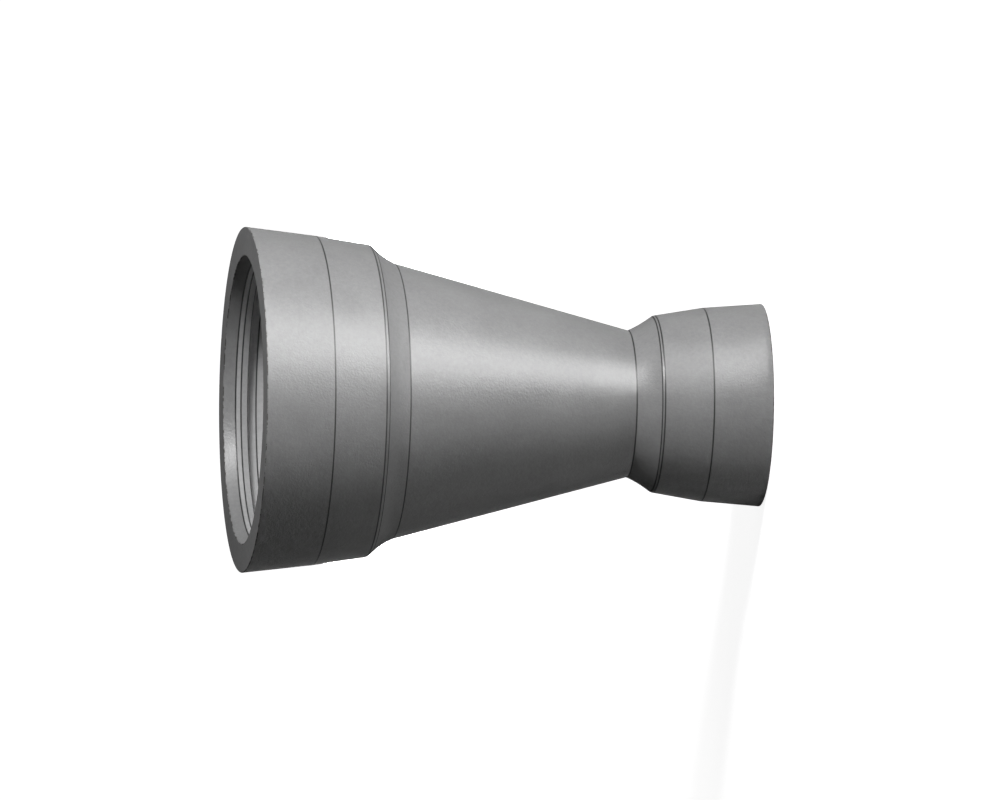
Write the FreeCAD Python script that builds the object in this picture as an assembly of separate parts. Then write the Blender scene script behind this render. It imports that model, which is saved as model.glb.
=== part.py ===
"""Double socket reducer: one ductile iron casting with a push-on socket at each end.

It stands on its small mouth. +Z runs along the pipe axis, up to the large mouth.
All sizes are in millimetres. A step is measured outward from the lip of its socket.
"""

import FreeCAD
import Part
import math
import os

# Whole casting
LENGTH = 419.0

# Pipes that the sockets take: outside radius of each pipe's plain end
LARGE_PIPE_R = 111.0
SMALL_PIPE_R = 59.0
PIPE_CLEARANCE = 1.5
LARGE_LIP_R = LARGE_PIPE_R + PIPE_CLEARANCE
SMALL_LIP_R = SMALL_PIPE_R + PIPE_CLEARANCE

# How far a pipe goes in, from the mouth to the stop
LARGE_DEPTH = 100.0
SMALL_DEPTH = 88.0

# Outside of the large socket: steps of its corners, and their depths below its mouth
LARGE_MOUTH_STEP = 26.5
LARGE_BEND_STEP = 19.9
LARGE_BEND_DEPTH = 56.4
LARGE_HEEL_STEP = 13.0
LARGE_HEEL_PAST_STOP = 0.7
LARGE_HEEL_ROUND = 4.5
LARGE_SHOULDER_RUN = 19.8
LARGE_SHOULDER_ARC = 59.0

# Outside of the small socket: steps of its corners, and their heights above its mouth
SMALL_MOUTH_STEP = 20.8
SMALL_BEND_STEP = 17.2
SMALL_BEND_HEIGHT = 47.8
SMALL_HEEL_STEP = 10.5
SMALL_HEEL_PAST_STOP = -0.3
SMALL_HEEL_ROUND = 4.5
SMALL_SHOULDER_RUN = 20.2
SMALL_SHOULDER_ARC = 95.0

# Tapered barrel: as thick outside as the pipe at each end, with a wall that thins down
LARGE_WALL = 8.4
SMALL_WALL = 7.2
BORE_BLEND = 30.0

# Inside of both sockets, by depth from the mouth
LEAD_IN_DEPTH = 9.8
LEAD_IN_STEP = 3.1
LIP_END = 14.2
RELIEF_END = 19.9
RELIEF_STEP = 1.5
GROOVE_END = 36.0
GROOVE_FRONT_ROUND = 8.0
GROOVE_BACK_ROUND = 2.5
RIDGE_START = 39.0
RIDGE_END = 43.5
RIDGE_ROUND = 1.5
SEAT_START = 46.5
SEAT_ROUND = 3.0
THROAT_STEP = 1.0
THROAT_ROUND = 8.0
STOP_ROUND = 3.0

# Inside of the large socket: gasket groove, ridge, gasket seat, throat and pipe chamber
LARGE_GROOVE_STEP = 11.0
LARGE_RIDGE_STEP = 6.0
LARGE_SEAT_STEP = 8.5
LARGE_SEAT_END = 61.0
LARGE_THROAT_DEPTH = 74.0
LARGE_CHAMBER_STEP = 3.0

# Inside of the small socket
SMALL_GROOVE_STEP = 10.0
SMALL_RIDGE_STEP = 5.5
SMALL_SEAT_STEP = 7.5
SMALL_SEAT_END = 58.0
SMALL_THROAT_DEPTH = 67.0
SMALL_CHAMBER_STEP = 2.0

# Mouth edges
MOUTH_OUTER_ROUND = 0.6
MOUTH_INNER_ROUND = 0.6

# Places that follow from the sizes above
LARGE_HEEL_R = LARGE_LIP_R + LARGE_HEEL_STEP
LARGE_HEEL_Z = LENGTH - LARGE_DEPTH - LARGE_HEEL_PAST_STOP
LARGE_SHOULDER_Z = LARGE_HEEL_Z - LARGE_SHOULDER_RUN
SMALL_HEEL_R = SMALL_LIP_R + SMALL_HEEL_STEP
SMALL_HEEL_Z = SMALL_DEPTH + SMALL_HEEL_PAST_STOP
SMALL_SHOULDER_Z = SMALL_HEEL_Z + SMALL_SHOULDER_RUN

AXIS_FOOT = FreeCAD.Vector(0, 0, 0)
AXIS = FreeCAD.Vector(0, 0, 1)


def corner(radius, height, rounding=0.0, hollow_arc=0.0):
    """A corner of the section: its place, the radius that softens it between straight
    walls, and the radius of the hollow wall that leads to it where that isn't straight."""
    point = FreeCAD.Vector(radius, 0, height)
    return {"point": point, "rounding": rounding, "hollow_arc": hollow_arc}


def socket_inside(lip_r, groove_step, ridge_step, seat_step, seat_end, throat_depth,
                  chamber_step, stop_depth):
    """Inside of a socket from its mouth to its stop, as (radius, depth, rounding)."""
    return [
        (lip_r + LEAD_IN_STEP, 0.0, MOUTH_INNER_ROUND),
        (lip_r, LEAD_IN_DEPTH, 0.0),
        (lip_r, LIP_END, 0.0),
        (lip_r + RELIEF_STEP, RELIEF_END, 0.0),
        (lip_r + groove_step, RELIEF_END, GROOVE_FRONT_ROUND),
        (lip_r + groove_step, GROOVE_END, GROOVE_BACK_ROUND),
        (lip_r + ridge_step, RIDGE_START, RIDGE_ROUND),
        (lip_r + ridge_step, RIDGE_END, RIDGE_ROUND),
        (lip_r + seat_step, SEAT_START, SEAT_ROUND),
        (lip_r + seat_step, seat_end, SEAT_ROUND),
        (lip_r + THROAT_STEP, throat_depth, THROAT_ROUND),
        (lip_r + chamber_step, stop_depth, STOP_ROUND),
    ]


def outside_corners():
    """Corners of the outside, from the small mouth up to the large mouth."""
    return [
        corner(SMALL_LIP_R + SMALL_MOUTH_STEP, 0.0, MOUTH_OUTER_ROUND),
        corner(SMALL_LIP_R + SMALL_BEND_STEP, SMALL_BEND_HEIGHT),
        corner(SMALL_HEEL_R, SMALL_HEEL_Z),
        corner(SMALL_PIPE_R, SMALL_SHOULDER_Z, hollow_arc=SMALL_SHOULDER_ARC),
        corner(LARGE_PIPE_R, LARGE_SHOULDER_Z),
        corner(LARGE_HEEL_R, LARGE_HEEL_Z, hollow_arc=LARGE_SHOULDER_ARC),
        corner(LARGE_LIP_R + LARGE_BEND_STEP, LENGTH - LARGE_BEND_DEPTH),
        corner(LARGE_LIP_R + LARGE_MOUTH_STEP, LENGTH, MOUTH_OUTER_ROUND),
    ]


def inside_corners():
    """Corners of the inside, from the large mouth down to the small mouth."""
    large = socket_inside(
        LARGE_LIP_R, LARGE_GROOVE_STEP, LARGE_RIDGE_STEP, LARGE_SEAT_STEP,
        LARGE_SEAT_END, LARGE_THROAT_DEPTH, LARGE_CHAMBER_STEP, LARGE_DEPTH)
    small = socket_inside(
        SMALL_LIP_R, SMALL_GROOVE_STEP, SMALL_RIDGE_STEP, SMALL_SEAT_STEP,
        SMALL_SEAT_END, SMALL_THROAT_DEPTH, SMALL_CHAMBER_STEP, SMALL_DEPTH)
    large_bore_r = LARGE_PIPE_R - LARGE_WALL
    small_bore_r = SMALL_PIPE_R - SMALL_WALL
    corners = [corner(radius, LENGTH - depth, rounding) for radius, depth, rounding in large]
    corners.append(corner(large_bore_r, LENGTH - LARGE_DEPTH, STOP_ROUND))
    corners.append(corner(large_bore_r, LARGE_SHOULDER_Z, BORE_BLEND))
    corners.append(corner(small_bore_r, SMALL_SHOULDER_Z, BORE_BLEND))
    corners.append(corner(small_bore_r, SMALL_DEPTH, STOP_ROUND))
    corners += [corner(radius, depth, rounding) for radius, depth, rounding in reversed(small)]
    return corners


def rounded_corner(before, here, after, radius):
    """Start, middle and end of the arc that softens a corner between straight walls."""
    back = (before - here).normalize()
    ahead = (after - here).normalize()
    half_angle = back.getAngle(ahead) / 2
    reach = radius / math.tan(half_angle)
    inward = (back + ahead).normalize()
    middle = here + inward * (radius / math.sin(half_angle) - radius)
    return here + back * reach, middle, here + ahead * reach


def hollow_middle(start, end, radius):
    """Middle of the hollow wall from start up to end, which bows into the iron."""
    chord = end - start
    sagitta = radius - math.sqrt(radius ** 2 - (chord.Length / 2) ** 2)
    return (start + end) * 0.5 + FreeCAD.Vector(-chord.z, 0, chord.x).normalize() * sagitta


def section_edges(corners):
    """The section's walls and softened corners, in order, as one closed run of edges."""
    bends = []
    for i, here in enumerate(corners):
        point = here["point"]
        if here["rounding"]:
            after = corners[(i + 1) % len(corners)]["point"]
            bends.append(rounded_corner(corners[i - 1]["point"], point, after, here["rounding"]))
        else:
            bends.append((point, point, point))
    edges = []
    for i, here in enumerate(corners):
        last_end = bends[i - 1][2]
        start, middle, end = bends[i]
        if here["hollow_arc"]:
            bow = hollow_middle(last_end, start, here["hollow_arc"])
            edges.append(Part.Arc(last_end, bow, start).toShape())
        else:
            edges.append(Part.LineSegment(last_end, start).toShape())
        if here["rounding"]:
            edges.append(Part.Arc(start, middle, end).toShape())
    return edges


def soften_rim(solid, rim_radius, height, rounding):
    """Rounds the circular edge of the given radius and height."""
    centre = FreeCAD.Vector(0, 0, height)
    rims = [
        edge for edge in solid.Edges
        if isinstance(edge.Curve, Part.Circle)
        and abs(edge.Curve.Radius - rim_radius) < 0.01
        and edge.Curve.Center.distanceToPoint(centre) < 0.01
    ]
    return solid.makeFillet(rounding, rims)


def make_casting():
    """The whole casting: its section turned about the pipe axis, with softened heels."""
    section = Part.Face(Part.Wire(section_edges(outside_corners() + inside_corners())))
    casting = section.revolve(AXIS_FOOT, AXIS, 360)
    casting = soften_rim(casting, LARGE_HEEL_R, LARGE_HEEL_Z, LARGE_HEEL_ROUND)
    return soften_rim(casting, SMALL_HEEL_R, SMALL_HEEL_Z, SMALL_HEEL_ROUND)


os.makedirs("parts", exist_ok=True)
make_casting().exportStep("parts/reducer_casting.step")
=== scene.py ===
"""Looks of the double socket reducer: a grey coated iron casting on a pale studio floor."""

import math

import bpy
import numpy as np
from mathutils import Matrix, Vector


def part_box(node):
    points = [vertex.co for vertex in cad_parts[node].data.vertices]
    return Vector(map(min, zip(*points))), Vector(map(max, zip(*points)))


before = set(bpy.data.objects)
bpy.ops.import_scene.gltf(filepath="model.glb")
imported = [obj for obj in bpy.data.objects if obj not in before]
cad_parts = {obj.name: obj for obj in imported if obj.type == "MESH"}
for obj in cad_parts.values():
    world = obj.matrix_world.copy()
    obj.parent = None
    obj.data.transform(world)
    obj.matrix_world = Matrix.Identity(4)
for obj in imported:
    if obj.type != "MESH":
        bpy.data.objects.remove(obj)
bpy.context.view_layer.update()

bl_info = {
    "name": "Double socket reducer",
    "version": (1, 0, 0),
    "blender": (4, 5, 0),
    "location": "3D View > Sidebar > Reducer",
    "description": "Finishes a cast iron pipe reducer and sets its studio stage",
    "category": "Object",
}

CASTING = "reducer_casting"
BOTTOM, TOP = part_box(CASTING)
LENGTH = TOP.z - BOTTOM.z

# Creases of the casting in metres, as (radius, distance from the mouth): a fine dark line of
# painted shade is laid along each.
LARGE_CREASES = {
    "bend": (0.1324, 0.0564),
    "heel_upper": (0.1258, 0.0991),
    "heel_lower": (0.1243, 0.1018),
    "shoulder": (0.1110, 0.1205),
    "lip_start": (0.1125, 0.0098),
    "lip_end": (0.1125, 0.0142),
    "groove_lip": (0.1140, 0.0199),
    "groove_floor": (0.1235, 0.0279),
}
LARGE_RIMS = {"outer": (0.1390, 0.0), "inner": (0.1156, 0.0)}
SMALL_CREASES = {
    "bend": (0.0777, 0.0478),
    "heel_lower": (0.0713, 0.0866),
    "heel_upper": (0.0704, 0.0888),
    "shoulder": (0.0590, 0.1079),
}
SMALL_RIMS = {"outer": (0.0813, 0.0), "inner": (0.0636, 0.0)}

# Middle of the wall, as (height, radius), from the small mouth up: what lies inside it is
# painted paler, as painted light on the inner walls. The paler colour stops at the lip of each
# socket.
WALL_MIDDLE = (
    (0.000, 0.0725), (0.028, 0.0748), (0.058, 0.0720), (0.088, 0.0667), (0.100, 0.0572),
    (0.108, 0.0554), (0.298, 0.1068), (0.310, 0.1120), (0.3185, 0.1200), (0.360, 0.1265),
    (0.391, 0.1297), (0.419, 0.1297))
LIP_DEPTH = 0.0098

# How near to an end of the casting a surface counts as its mouth face
FACE_MARGIN = 0.0003

# The photograph's framing: metres per pixel, and where the middle of the casting falls.
FRAME_WIDTH_PX = 1000
METRES_PER_PX = 0.0008026
AIM_HEIGHT = 0.20713
AIM_RIGHT_PX = 4.5
AIM_DOWN_PX = 2.5
CAMERA_ELEVATION = math.radians(8.044)
CAMERA_ROLL = math.radians(0.5935)
CAMERA_DISTANCE = 3.0

# Studio lights: degrees up the picture, degrees to the picture's right, distance, width,
# height, power. The back light stays lower than the large mouth.
LIGHTS = {
    "key": (45.0, -20.0, 2.0, 0.5, 0.5, 36.0),
    "top": (65.0, 0.0, 2.0, 0.5, 0.5, 4.5),
    "back": (180.0, -8.0, 2.5, 0.3, 0.36, 28.0),
}

# The floor lies this little below the foot, so that the two flat faces don't coincide
FLOOR_GAP = 0.0003

# Beam that looks straight down into the bore: height over the mouth, radius at the mouth, power
BORE_BEAM = (1.5, 0.095, 80.0)

# Reflector card: middle and half of its fan in degrees from the camera's side of the
# casting toward the picture's top, nearest and farthest radius, height over the floor
CARD = (39.0, 18.0, 0.1, 1.8, 0.002)
CARD_GLOW = 10.0

# Softness of the beam's rim, and the size of its source
BEAM_BLEND = 0.6
BEAM_SOURCE = 0.02

# Strength of the dim even light on the casting
ROOM_GLOW = 0.015

# Lift of the floor toward white: distances from the foot where it starts and ends, and its
# strength at each
FLOOR_LIFT = (0.3, 1.2, 0.88, 1.05)

# Noises of the coating: size of the lumps, detail, roughness of the noise
PATCHES = (0.08, 5, 0.6)
SPECKLE = (0.0035, 3, 0.7)
FLAKES = (0.006, 5, 0.65)
GRAIN_TEXTURE = (4, 0.6)
WAVE_DETAIL = 2

# Range that most of a noise lies in, and the narrower one in which flakes come off
NOISE_RANGE = (0.3, 0.7)
FLAKE_RANGE = (0.48, 0.56)

# Share of the reach of a crease or a rim that shows at full strength
CORE = 0.3

# Shade of the coating over its patches and its speckle, and painted shade in the hollow
PATCH_SHADE = (0.91, 1.09)
SPECKLE_SHADE = (0.93, 1.07)
HOLLOW_PAINTED_SHADE = 0.86

# Change of roughness over patches and grain, and what mouth faces and chips add to it
PATCH_ROUGHNESS = 0.04
GRAIN_ROUGHNESS = 0.03
DULL_ROUGHNESS = 0.3

# Mirror strength of open walls and of mouth faces
WALL_SPECULAR = 0.5
FACE_SPECULAR = 0.25


class CoatingSettings(bpy.types.PropertyGroup):
    """Sizes and colours of the coating and of the cast surface under it."""

    colour: bpy.props.FloatVectorProperty(
        name="Coating", description="Colour of the coating on open walls",
        default=(0.283, 0.283, 0.285), subtype="COLOR", size=3, min=0, max=1)
    # Painted light: a paler colour on the inner walls from the lips inward, standing in for
    # light inside the sockets
    painted_light_inside_colour: bpy.props.FloatVectorProperty(
        name="Lining", description="Colour of the paler coat inside, from the lips inward",
        default=(0.48, 0.48, 0.483), subtype="COLOR", size=3, min=0, max=1)
    # Painted shade: colour of the fine dark line laid along each crease
    crease_shade_colour: bpy.props.FloatVectorProperty(
        name="Crease", description="Colour of the coating where it pools in a crease",
        default=(0.03, 0.03, 0.03), subtype="COLOR", size=3, min=0, max=1)
    bare_colour: bpy.props.FloatVectorProperty(
        name="Bare iron", description="Colour of the dull iron where the coating chipped off",
        default=(0.07, 0.066, 0.063), subtype="COLOR", size=3, min=0, max=1)
    crease_shade_width: bpy.props.FloatProperty(
        name="Crease width", description="Half the width of the dark line in a crease",
        default=0.0009, unit="LENGTH", subtype="DISTANCE")
    chip_reach: bpy.props.FloatProperty(
        name="Chip reach", description="How far from a rim the coating chips off",
        default=0.0011, unit="LENGTH", subtype="DISTANCE")
    grain_size: bpy.props.FloatProperty(
        name="Sand grain", description="Size of the grain that the sand mould leaves",
        default=0.0018, unit="LENGTH", subtype="DISTANCE")
    grain_depth: bpy.props.FloatProperty(
        name="Grain depth", description="Depth of that grain",
        default=0.00022, unit="LENGTH", subtype="DISTANCE")
    wave_size: bpy.props.FloatProperty(
        name="Wave size", description="Size of the slow waves of the cast wall",
        default=0.03, unit="LENGTH", subtype="DISTANCE")
    wave_depth: bpy.props.FloatProperty(
        name="Wave depth", description="Depth of those waves",
        default=0.0004, unit="LENGTH", subtype="DISTANCE")
    roughness: bpy.props.FloatProperty(
        name="Roughness", description="Roughness of the coating on open walls",
        default=0.35, min=0, max=1, subtype="FACTOR")
    hollow_roughness: bpy.props.FloatProperty(
        name="Hollow roughness", description="Roughness in the hollow under the large heel",
        default=0.62, min=0, max=1, subtype="FACTOR")


class StageSettings(bpy.types.PropertyGroup):
    """Size and colour of the floor."""

    floor_radius: bpy.props.FloatProperty(
        name="Floor radius", description="Radius of the round floor",
        default=9.0, unit="LENGTH", subtype="DISTANCE")
    floor_colour: bpy.props.FloatVectorProperty(
        name="Floor", description="Colour of the floor",
        default=(0.7, 0.7, 0.7), subtype="COLOR", size=3, min=0, max=1)


class Nodes:
    """Places shader nodes in one material's tree and links them."""

    def __init__(self, tree):
        self.tree = tree

    def add(self, kind, inputs=None, **settings):
        """A node with its settings, whose inputs are numbers, colours or other sockets."""
        node = self.tree.nodes.new(kind)
        for name, value in settings.items():
            setattr(node, name, value)
        for key, value in (inputs or {}).items():
            if isinstance(value, bpy.types.NodeSocket):
                self.tree.links.new(value, node.inputs[key])
            else:
                node.inputs[key].default_value = value
        return node

    def math(self, operation, first, second):
        """One sum on two values."""
        return self.add("ShaderNodeMath", {0: first, 1: second}, operation=operation).outputs[0]

    def noise(self, where, size, detail, roughness=0.5):
        """Noise whose largest lumps are about size metres across, from 0 to 1."""
        node = self.add("ShaderNodeTexNoise", {
            "Vector": where, "Scale": 1 / size, "Detail": detail, "Roughness": roughness})
        return node.outputs["Fac"]

    def blend(self, factor, first, second):
        """Colour that runs from first to second as factor runs from 0 to 1."""
        node = self.add("ShaderNodeMix", {"Factor": factor, "A": first, "B": second},
                        data_type="RGBA")
        return node.outputs["Result"]

    def span(self, value, low, high, to_low=0.0, to_high=1.0):
        """Value moved from the range low..high to the range to_low..to_high."""
        node = self.add("ShaderNodeMapRange", {
            "Value": value, "From Min": low, "From Max": high,
            "To Min": to_low, "To Max": to_high})
        return node.outputs["Result"]

    def between(self, value, low, high):
        """One where value lies from low to high, nought elsewhere."""
        return self.math("MULTIPLY", self.math("GREATER_THAN", value, low),
                         self.math("LESS_THAN", value, high))


def new_material(name):
    """An empty node material, and the Nodes that fill it."""
    material = bpy.data.materials.new(name)
    material.use_nodes = True
    material.node_tree.nodes.clear()
    return material, Nodes(material.node_tree)


def radius_and_height(nodes, where):
    """Distance from the pipe axis, and height, of each point of the surface."""
    parts = nodes.add("ShaderNodeSeparateXYZ", {0: where})
    flat = nodes.add("ShaderNodeCombineXYZ", {"X": parts.outputs["X"], "Y": parts.outputs["Y"]})
    radius = nodes.add("ShaderNodeVectorMath", {0: flat.outputs[0]}, operation="LENGTH")
    return radius.outputs["Value"], parts.outputs["Z"]


def ring_distance(nodes, radius, height, large_rings, small_rings):
    """Distance to the nearest of the rings, measured in the plane of radius and height."""
    here = nodes.add("ShaderNodeCombineXYZ", {"X": radius, "Y": height}).outputs[0]
    rings = [(r, TOP.z - depth) for r, depth in large_rings.values()]
    rings += [(r, BOTTOM.z + rise) for r, rise in small_rings.values()]
    nearest = None
    for r, level in rings:
        apart = nodes.add("ShaderNodeVectorMath", {0: here, 1: (r, level, 0)},
                          operation="DISTANCE").outputs["Value"]
        nearest = apart if nearest is None else nodes.math("MINIMUM", nearest, apart)
    return nearest


def near_ring(nodes, distance, reach):
    """One close to a ring, falling to nought at reach."""
    return nodes.span(distance, CORE * reach, reach, 1, 0)


def inside_lips(nodes, radius, height):
    """One on the inner walls between the two lips, nought outside them."""
    widest = max(middle for _, middle in WALL_MIDDLE)
    places = [(level / LENGTH, middle / widest) for level, middle in WALL_MIDDLE]
    curve = nodes.add("ShaderNodeFloatCurve", {"Value": nodes.span(height, BOTTOM.z, TOP.z)})
    run = curve.mapping.curves[0]
    run.points[0].location = places[0]
    run.points[1].location = places[-1]
    for place in places[1:-1]:
        run.points.new(*place)
    for point in run.points:
        point.handle_type = "VECTOR"
    curve.mapping.update()
    inner = nodes.math("LESS_THAN", radius, nodes.math("MULTIPLY", curve.outputs[0], widest))
    between = nodes.between(height, BOTTOM.z + LIP_DEPTH, TOP.z - LIP_DEPTH)
    return nodes.math("MULTIPLY", inner, between)


def find_regions(nodes, where, settings):
    """Masks that run from 0 to 1: inner walls painted paler as painted light, the hollow under
    the large heel, the mouth faces, the creases for the painted shade lines, and the chips
    along the rims of both mouths."""
    radius, height = radius_and_height(nodes, where)
    painted_light_inside = inside_lips(nodes, radius, height)
    hollow = nodes.between(height, TOP.z - LARGE_CREASES["shoulder"][1],
                           TOP.z - LARGE_CREASES["heel_lower"][1])
    faces = nodes.math("SUBTRACT", 1, nodes.between(
        height, BOTTOM.z + FACE_MARGIN, TOP.z - FACE_MARGIN))
    # Distance to the nearest crease, for the painted shade line along it
    crease_shade = ring_distance(nodes, radius, height, LARGE_CREASES, SMALL_CREASES)
    rims = ring_distance(nodes, radius, height, LARGE_RIMS, SMALL_RIMS)
    flakes = nodes.span(nodes.noise(where, *FLAKES), *FLAKE_RANGE)
    return {
        "painted_light_inside": painted_light_inside,
        "hollow": nodes.math("MULTIPLY", hollow, nodes.math("SUBTRACT", 1, painted_light_inside)),
        "faces": faces,
        "crease_shade": near_ring(nodes, crease_shade, settings.crease_shade_width),
        "chips": nodes.math("MULTIPLY", near_ring(nodes, rims, settings.chip_reach), flakes),
    }


def coating_colour(nodes, where, patches, regions, settings):
    """Coating, painted paler on the inner walls as painted light, mottled, with painted shade
    in the hollow, dull iron in the chips and fine dark lines of painted shade in creases.
    """
    # Painted light: the inner walls take the paler colour
    tone = nodes.blend(regions["painted_light_inside"], (*settings.colour, 1), (*settings.painted_light_inside_colour, 1))
    speckle = nodes.noise(where, *SPECKLE)
    mottle_and_painted_shade = nodes.math("MULTIPLY", nodes.span(patches, *NOISE_RANGE, *PATCH_SHADE),
                       nodes.span(speckle, *NOISE_RANGE, *SPECKLE_SHADE))
    # Painted shade: the hollow under the large heel is darkened
    mottle_and_painted_shade = nodes.math("MULTIPLY", mottle_and_painted_shade, nodes.span(regions["hollow"], 0, 1, 1, HOLLOW_PAINTED_SHADE))
    tone = nodes.add("ShaderNodeVectorMath", {0: tone, "Scale": mottle_and_painted_shade},
                     operation="SCALE").outputs[0]
    tone = nodes.blend(regions["chips"], tone, (*settings.bare_colour, 1))
    # Painted shade: a fine dark line along each crease
    return nodes.blend(regions["crease_shade"], tone, (*settings.crease_shade_colour, 1))


def coating_roughness(nodes, patches, grain, regions, settings):
    """Satin on open walls, duller in the hollow, on the mouth faces and in the chips."""
    rough = nodes.span(regions["hollow"], 0, 1, settings.roughness, settings.hollow_roughness)
    for noise, change in ((patches, PATCH_ROUGHNESS), (grain, GRAIN_ROUGHNESS)):
        rough = nodes.math("ADD", rough, nodes.span(noise, *NOISE_RANGE, -change, change))
    dull = nodes.math("MAXIMUM", regions["chips"], regions["faces"])
    return nodes.math("ADD", rough, nodes.math("MULTIPLY", dull, DULL_ROUGHNESS))


def coated_iron(settings):
    """Grey coating on sand-cast iron."""
    material, nodes = new_material("coated_iron")
    where = nodes.add("ShaderNodeTexCoord").outputs["Object"]
    patches = nodes.noise(where, *PATCHES)
    grain = nodes.noise(where, settings.grain_size, *GRAIN_TEXTURE)
    waves = nodes.noise(where, settings.wave_size, WAVE_DETAIL)
    regions = find_regions(nodes, where, settings)
    relief = nodes.math("ADD", nodes.math("MULTIPLY", grain, settings.grain_depth),
                        nodes.math("MULTIPLY", waves, settings.wave_depth))
    bump = nodes.add("ShaderNodeBump", {"Height": relief, "Strength": 1.0, "Distance": 1.0})
    shader = nodes.add("ShaderNodeBsdfPrincipled", {
        "Base Color": coating_colour(nodes, where, patches, regions, settings),
        "Roughness": coating_roughness(nodes, patches, grain, regions, settings),
        "Specular IOR Level": nodes.span(
            regions["faces"], 0, 1, WALL_SPECULAR, FACE_SPECULAR),
        "Metallic": 0.0, "IOR": 1.5, "Normal": bump.outputs[0]})
    nodes.add("ShaderNodeOutputMaterial", {"Surface": shader.outputs[0]})
    return material


def floor_finish(settings):
    """Matt pale floor. Seen straight from the camera it is lifted to the backdrop's white,
    less so near the foot, where the casting's shadow stays."""
    material, nodes = new_material("studio_floor")
    matt = nodes.add("ShaderNodeBsdfDiffuse", {"Color": (*settings.floor_colour, 1)})
    seen = nodes.add("ShaderNodeLightPath").outputs["Is Camera Ray"]
    where = nodes.add("ShaderNodeTexCoord").outputs["Object"]
    away = nodes.add("ShaderNodeVectorMath", {0: where}, operation="LENGTH").outputs["Value"]
    lift = nodes.span(away, *FLOOR_LIFT)
    glow = nodes.add("ShaderNodeEmission", {"Color": (1, 1, 1, 1), "Strength": lift})
    both = nodes.add("ShaderNodeAddShader", {0: matt.outputs[0], 1: glow.outputs[0]})
    shown = nodes.add("ShaderNodeMixShader", {0: seen, 1: matt.outputs[0], 2: both.outputs[0]})
    nodes.add("ShaderNodeOutputMaterial", {"Surface": shown.outputs[0]})
    return material


def camera_axes():
    """Right, up and forward of the photograph's camera. It looks level-on at the pipe axis
    from just above, with the casting's large end to the picture's left, turned by the roll."""
    lean = CAMERA_ELEVATION
    forward = Vector((0, math.cos(lean), -math.sin(lean)))
    along = Vector((0, -math.sin(lean), -math.cos(lean)))
    across = Vector((1, 0, 0))
    right = along * math.cos(CAMERA_ROLL) + across * math.sin(CAMERA_ROLL)
    up = across * math.cos(CAMERA_ROLL) - along * math.sin(CAMERA_ROLL)
    return right, up, forward


def placed(right, up, forward, location):
    """Matrix of a camera or light at location that looks along forward."""
    turn = Matrix((right, up, -forward)).transposed().to_4x4()
    return Matrix.Translation(location) @ turn


def add_camera():
    """The photograph's camera, with parallel rays."""
    right, up, forward = camera_axes()
    aim = Vector((0, 0, AIM_HEIGHT))
    centre = aim - right * (AIM_RIGHT_PX * METRES_PER_PX) + up * (AIM_DOWN_PX * METRES_PER_PX)
    data = bpy.data.cameras.new("camera")
    data.type = "ORTHO"
    data.ortho_scale = FRAME_WIDTH_PX * METRES_PER_PX
    data.clip_end = 50
    camera = bpy.data.objects.new("camera", data)
    bpy.context.scene.collection.objects.link(camera)
    camera.matrix_world = placed(right, up, forward, centre - forward * CAMERA_DISTANCE)
    bpy.context.scene.camera = camera


def add_light(name, rise, sideways, distance, width, height, power):
    """A flat light on a sphere about the casting. Its direction starts at the camera's,
    turns up the picture by rise, and to the picture's right by sideways."""
    right, up, forward = camera_axes()
    rise, sideways = math.radians(rise), math.radians(sideways)
    toward = (-forward * math.cos(rise) + up * math.sin(rise)) * math.cos(sideways)
    toward += right * math.sin(sideways)
    data = bpy.data.lights.new(name, "AREA")
    data.shape = "RECTANGLE"
    data.size = width
    data.size_y = height
    data.energy = power
    light = bpy.data.objects.new(name, data)
    bpy.context.scene.collection.objects.link(light)
    light.location = Vector((0, 0, LENGTH / 2)) + toward * distance
    light.rotation_mode = "QUATERNION"
    light.rotation_quaternion = (-toward).to_track_quat("-Z", "Y")


def add_bore_beam():
    """A spotlight on the pipe axis whose cone stays inside the lip of the large socket."""
    over, radius, power = BORE_BEAM
    data = bpy.data.lights.new("bore_beam", "SPOT")
    data.energy = power
    data.spot_size = 2 * math.atan(radius / over)
    data.spot_blend = BEAM_BLEND
    data.shadow_soft_size = BEAM_SOURCE
    beam = bpy.data.objects.new("bore_beam", data)
    bpy.context.scene.collection.objects.link(beam)
    beam.location = (0, 0, TOP.z + over)


def disc(name, radius, height, sides=96):
    """Flat round plate: one ring of points at (radius cos t, radius sin t), one face."""
    turn = np.linspace(0, 2 * math.pi, sides, endpoint=False)
    points = np.stack([radius * np.cos(turn), radius * np.sin(turn), np.full(sides, height)], 1)
    mesh = bpy.data.meshes.new(name)
    mesh.from_pydata(points.tolist(), [], [list(range(sides))])
    plate = bpy.data.objects.new(name, mesh)
    bpy.context.scene.collection.objects.link(plate)
    return plate


def fan(name, middle, half_angle, inner, outer, height, steps=24):
    """Flat fan about the pipe axis: points at radius r and angle t, where t sweeps
    half_angle to each side of middle, and r goes from inner to outer."""
    sweep = np.radians(np.linspace(middle - half_angle, middle + half_angle, steps))
    radius = np.array([[inner], [outer]])
    across = radius * np.sin(sweep)
    toward = -radius * np.cos(sweep)
    points = np.stack([across, toward, np.full_like(across, height)], 2).reshape(-1, 3)
    first = np.arange(steps - 1)
    faces = np.stack([first, first + 1, first + 1 + steps, first + steps], 1)
    mesh = bpy.data.meshes.new(name)
    mesh.from_pydata(points.tolist(), [], faces.tolist())
    card = bpy.data.objects.new(name, mesh)
    bpy.context.scene.collection.objects.link(card)
    return card


def add_reflector_card():
    """Bright card on the floor that only shows as a soft gleam on the casting."""
    middle, half_angle, inner, outer, height = CARD
    card = fan("reflector_card", middle, half_angle, inner, outer, BOTTOM.z + height)
    material, nodes = new_material("reflector_card")
    glow = nodes.add("ShaderNodeEmission", {"Color": (1, 1, 1, 1), "Strength": CARD_GLOW})
    nodes.add("ShaderNodeOutputMaterial", {"Surface": glow.outputs[0]})
    card.data.materials.append(material)
    card.visible_camera = False
    card.visible_diffuse = False
    card.visible_shadow = False


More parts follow.
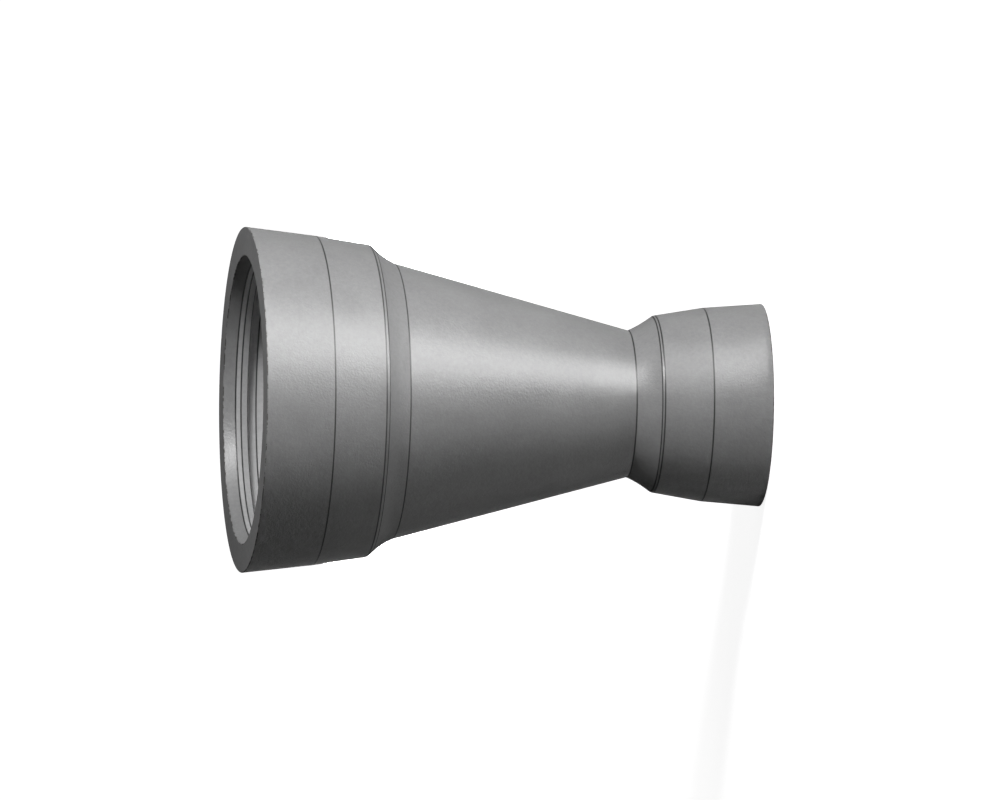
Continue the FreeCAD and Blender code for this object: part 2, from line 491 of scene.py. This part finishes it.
def add_backdrop_light(strength, tint):
    """White behind everything that the camera sees, and dim even light on the casting."""
    world = bpy.data.worlds.new("studio")
    bpy.context.scene.world = world
    world.use_nodes = True
    world.node_tree.nodes.clear()
    nodes = Nodes(world.node_tree)
    seen = nodes.add("ShaderNodeLightPath").outputs["Is Camera Ray"]
    white = nodes.add("ShaderNodeBackground", {"Color": (1, 1, 1, 1), "Strength": 1.0})
    dim = nodes.add("ShaderNodeBackground", {"Color": (*tint, 1), "Strength": strength})
    mixed = nodes.add("ShaderNodeMixShader", {0: seen, 1: dim.outputs[0], 2: white.outputs[0]})
    nodes.add("ShaderNodeOutputWorld", {"Surface": mixed.outputs[0]})


class REDUCER_OT_coat_casting(bpy.types.Operator):
    """Gives the casting its coated, sand-cast finish"""

    bl_idname = "reducer.coat_casting"
    bl_label = "Coat casting"

    def execute(self, context):
        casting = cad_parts[CASTING]
        finish = coated_iron(context.scene.reducer_coating)
        for slot in casting.material_slots:
            slot.material = finish
        return {"FINISHED"}


class REDUCER_OT_set_stage(bpy.types.Operator):
    """Sets the floor, the lights, the backdrop and the camera"""

    bl_idname = "reducer.set_stage"
    bl_label = "Set stage"

    def execute(self, context):
        settings = context.scene.reducer_stage
        floor = disc("floor", settings.floor_radius, BOTTOM.z - FLOOR_GAP)
        floor.data.materials.append(floor_finish(settings))
        for name, placing in LIGHTS.items():
            add_light(name, *placing)
        add_bore_beam()
        add_reflector_card()
        add_backdrop_light(ROOM_GLOW, (1, 1, 1))
        add_camera()
        context.scene.view_settings.view_transform = "Standard"
        return {"FINISHED"}


class REDUCER_PT_panel(bpy.types.Panel):
    """Lists the steps that finish the casting"""

    bl_idname = "REDUCER_PT_panel"
    bl_label = "Reducer"
    bl_space_type = "VIEW_3D"
    bl_region_type = "UI"
    bl_category = "Reducer"

    def draw(self, context):
        for operator in (REDUCER_OT_coat_casting, REDUCER_OT_set_stage):
            self.layout.operator(operator.bl_idname)


CLASSES = (
    CoatingSettings,
    StageSettings,
    REDUCER_OT_coat_casting,
    REDUCER_OT_set_stage,
    REDUCER_PT_panel,
)


def register():
    for cls in CLASSES:
        bpy.utils.register_class(cls)
    scene = bpy.types.Scene
    scene.reducer_coating = bpy.props.PointerProperty(type=CoatingSettings)
    scene.reducer_stage = bpy.props.PointerProperty(type=StageSettings)


def unregister():
    del bpy.types.Scene.reducer_stage
    del bpy.types.Scene.reducer_coating
    for cls in reversed(CLASSES):
        bpy.utils.unregister_class(cls)


def main():
    register()
    bpy.ops.reducer.coat_casting()
    bpy.ops.reducer.set_stage()


if __name__ == "__main__":
    main()
